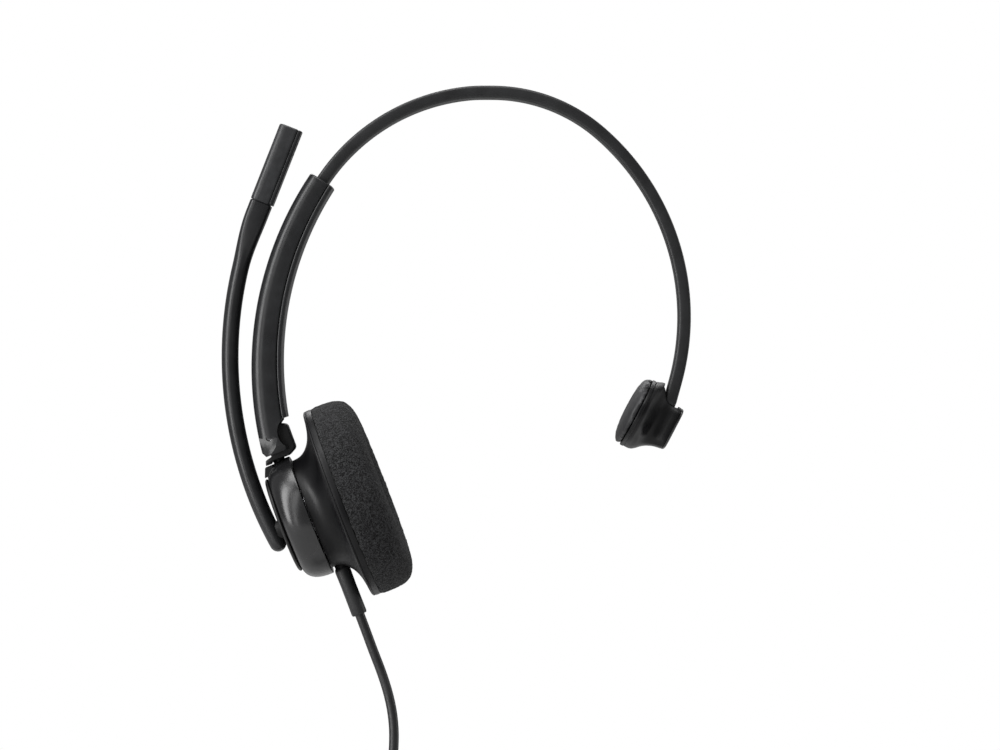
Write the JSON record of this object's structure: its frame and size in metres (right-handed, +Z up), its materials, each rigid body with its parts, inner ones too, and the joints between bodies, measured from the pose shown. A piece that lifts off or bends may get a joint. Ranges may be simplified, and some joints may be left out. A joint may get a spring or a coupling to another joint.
{
  "type": "single-sided office headset",
  "caption": "Single-ear wired office headset: curved headband with a temple pad, sliding arm, tilting foam ear cup, swinging boom microphone and a tied USB cord.",
  "frame": {"origin": "middle of the headband's underside at the crown, where it rests on the head", "axes": "+Z up, +X towards the temple pad and away from the ear cup, +Y across the headband; the headband lies in the XZ plane"},
  "size_m": [0.1405, 0.0592, 0.269],
  "materials": {
    "band_plastic": "matte charcoal moulding",
    "satin_plastic": "satin black moulding",
    "gloss_plastic": "polished black moulding",
    "cushion_foam": "open-cell black foam",
    "pad_rubber": "soft black rubber",
    "cord_jacket": "satin black cable jacket",
    "spring_steel": "bright steel",
    "plug_metal": "nickel plated sheet",
    "board_green": "green circuit board",
    "diaphragm_film": "thin grey film",
    "tie_strap": "black hook and loop strap"
  },
  "bodies": {
    "headband": {"headband_sleeve": "band_plastic", "headband_spring_strip": "spring_steel", "slider_block": "satin_plastic", "temple_hinge_eye": "spring_steel"},
    "arm": {"arm_outer_shell": "satin_plastic", "arm_inner_cover": "satin_plastic", "arm_cover_screw": "spring_steel", "tilt_pin": "spring_steel"},
    "knuckle": {"tilt_knuckle": "gloss_plastic", "swivel_clip": "spring_steel"},
    "ear_cup": {"cup_housing": "gloss_plastic", "speaker_baffle": "gloss_plastic", "baffle_screw_1": "spring_steel", "baffle_screw_2": "spring_steel", "baffle_screw_3": "spring_steel", "cushion_ring": "satin_plastic", "ear_cushion": "cushion_foam", "speaker_grille": "satin_plastic", "speaker_basket": "spring_steel", "speaker_diaphragm": "diaphragm_film", "speaker_magnet": "spring_steel", "cup_circuit_board": "board_green", "strain_relief": "cord_jacket", "cord": "cord_jacket", "cord_coil": "cord_jacket", "cord_tail": "cord_jacket", "cord_tie": "tie_strap", "plug_overmould": "cord_jacket", "plug_shell": "plug_metal", "plug_tongue": "tie_strap"},
    "boom": {"boom_hub": "gloss_plastic", "boom_arm": "satin_plastic", "boom_spring_washer": "spring_steel", "boom_retaining_clip": "spring_steel", "mic_tip_cover": "satin_plastic", "mic_tip_grille": "satin_plastic", "mic_capsule": "spring_steel"},
    "temple_pad": {"temple_housing": "satin_plastic", "temple_end_cap": "satin_plastic", "temple_plate": "satin_plastic", "temple_cushion": "pad_rubber", "temple_pin": "spring_steel", "temple_screw": "spring_steel"}
  },
  "joints": [
    {"name": "arm_slide", "type": "hinge", "parent": "headband", "child": "arm", "pos_m": [0.03308, 0, -0.07956], "axis": [0, -1, 0], "range_deg": [0, 17]},
    {"name": "cup_tilt", "type": "hinge", "parent": "arm", "child": "knuckle", "pos_m": [-0.06499, 0, -0.10152], "axis": [0, 1, 0], "range_deg": [-12, 3]},
    {"name": "cup_swivel", "type": "hinge", "parent": "knuckle", "child": "ear_cup", "pos_m": [-0.06499, 0, -0.10152], "axis": [0.3584, 0, -0.9336], "range_deg": [-15, 15]},
    {"name": "boom_rotate", "type": "hinge", "parent": "ear_cup", "child": "boom", "pos_m": [-0.0609, 0, -0.1278], "axis": [0.9336, 0, 0.3584], "range_deg": [-150, 150]},
    {"name": "temple_tilt", "type": "hinge", "parent": "headband", "child": "temple_pad", "pos_m": [0.0537, 0, -0.09485], "axis": [0, 1, 0], "range_deg": [-5, 5]}
  ]
}
